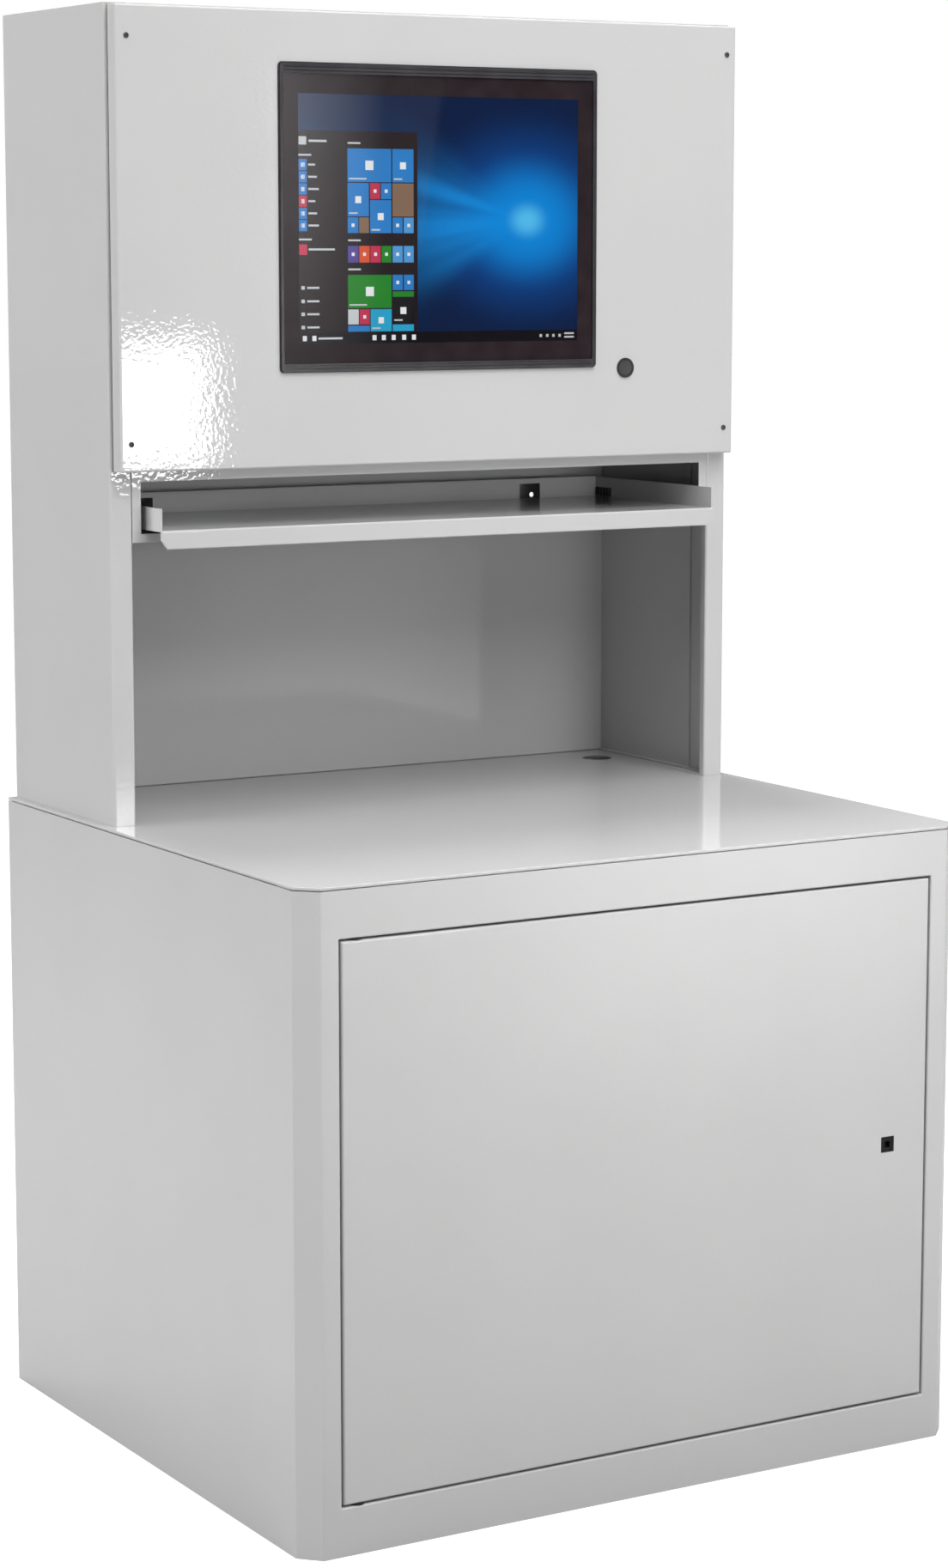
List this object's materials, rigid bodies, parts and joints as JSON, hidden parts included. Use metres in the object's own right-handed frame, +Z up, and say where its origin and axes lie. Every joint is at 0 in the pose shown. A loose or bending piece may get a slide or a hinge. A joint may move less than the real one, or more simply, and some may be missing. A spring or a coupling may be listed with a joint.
{
  "type": "workshop computer cabinet",
  "caption": "Two-tier grey steel cabinet for a workshop computer: base with one flush door, worktop, niche, pull-out keyboard tray and a screen behind a screwed panel.",
  "frame": {"origin": "on the floor, under the middle of the base", "axes": "+Z up, the door, tray and screen face -Y, +X to the viewer's right"},
  "size_m": [0.7, 0.614, 1.344],
  "materials": {
    "powder_coat": "semi-gloss light grey powder coat with a fine orange peel",
    "zinc_steel": "zinc plated",
    "black_steel": "black oxide",
    "black_plastic": "satin black",
    "black_rubber": "matt foam",
    "screen_glass": "clear, slightly tinted",
    "screen_panel_face": "lit liquid crystal panel",
    "circuit_board": "green board"
  },
  "bodies": {
    "cabinet": {"base_side_left": "powder_coat", "base_side_right": "powder_coat", "base_front_frame": "powder_coat", "base_floor": "powder_coat", "base_back": "powder_coat", "base_back_screws": "zinc_steel", "rear_cable_grommet": "black_rubber", "worktop_rail_front": "powder_coat", "worktop_rail_rear": "powder_coat", "worktop": "powder_coat", "upper_side_left": "powder_coat", "upper_side_right": "powder_coat", "side_liner_left": "powder_coat", "side_liner_right": "powder_coat", "foot_plate_left": "powder_coat", "foot_plate_right": "powder_coat", "foot_bolts": "zinc_steel", "upper_back": "powder_coat", "back_foot_strip": "powder_coat", "roof": "powder_coat", "bay_frame": "powder_coat", "bay_floor": "powder_coat", "bay_ceiling": "powder_coat", "runner_rail_left": "zinc_steel", "runner_rail_right": "zinc_steel", "tray_glides": "black_plastic", "screen_panel": "powder_coat", "screen_panel_seal": "black_rubber", "screen_panel_spacers": "zinc_steel", "screen_panel_screws": "black_steel", "display_bezel": "black_plastic", "display_glass": "screen_glass", "display_panel": "screen_panel_face", "display_board": "circuit_board", "display_housing": "black_plastic", "display_clamps": "zinc_steel", "button_ring": "black_plastic", "button_nut": "zinc_steel", "button_switch": "black_plastic", "hinge_bush_upper": "black_plastic", "hinge_bush_lower": "black_plastic", "door_seal": "black_rubber"},
    "door": {"door_skin": "powder_coat", "door_stiffener": "powder_coat", "hinge_block_upper": "powder_coat", "hinge_block_lower": "powder_coat", "hinge_pin_upper": "zinc_steel", "hinge_pin_lower": "zinc_steel", "lock_housing": "black_plastic", "lock_plate": "zinc_steel"},
    "lock": {"lock_rotor": "black_plastic", "lock_cam": "zinc_steel", "cam_screw": "zinc_steel"},
    "tray": {"keyboard_tray": "powder_coat", "tray_shoe_left": "black_plastic", "tray_shoe_right": "black_plastic"},
    "button": {"button_cap": "black_plastic"}
  },
  "joints": [
    {"name": "door_hinge", "type": "hinge", "parent": "cabinet", "child": "door", "pos_m": [-0.296, -0.3, 0.294], "axis": [0, 0, -1], "range_deg": [0, 110]},
    {"name": "lock_turn", "type": "hinge", "parent": "door", "child": "lock", "pos_m": [0.2684, -0.3, 0.294], "axis": [0, 1, 0], "range_deg": [0, 90]},
    {"name": "tray_slide", "type": "slide", "parent": "cabinet", "child": "tray", "axis": [0, -1, 0], "range_m": [-0.03, 0.142]},
    {"name": "button_press", "type": "slide", "parent": "cabinet", "child": "button", "axis": [0, 1, 0], "range_m": [0, 0.002], "stiffness_N_per_m": 900}
  ]
}
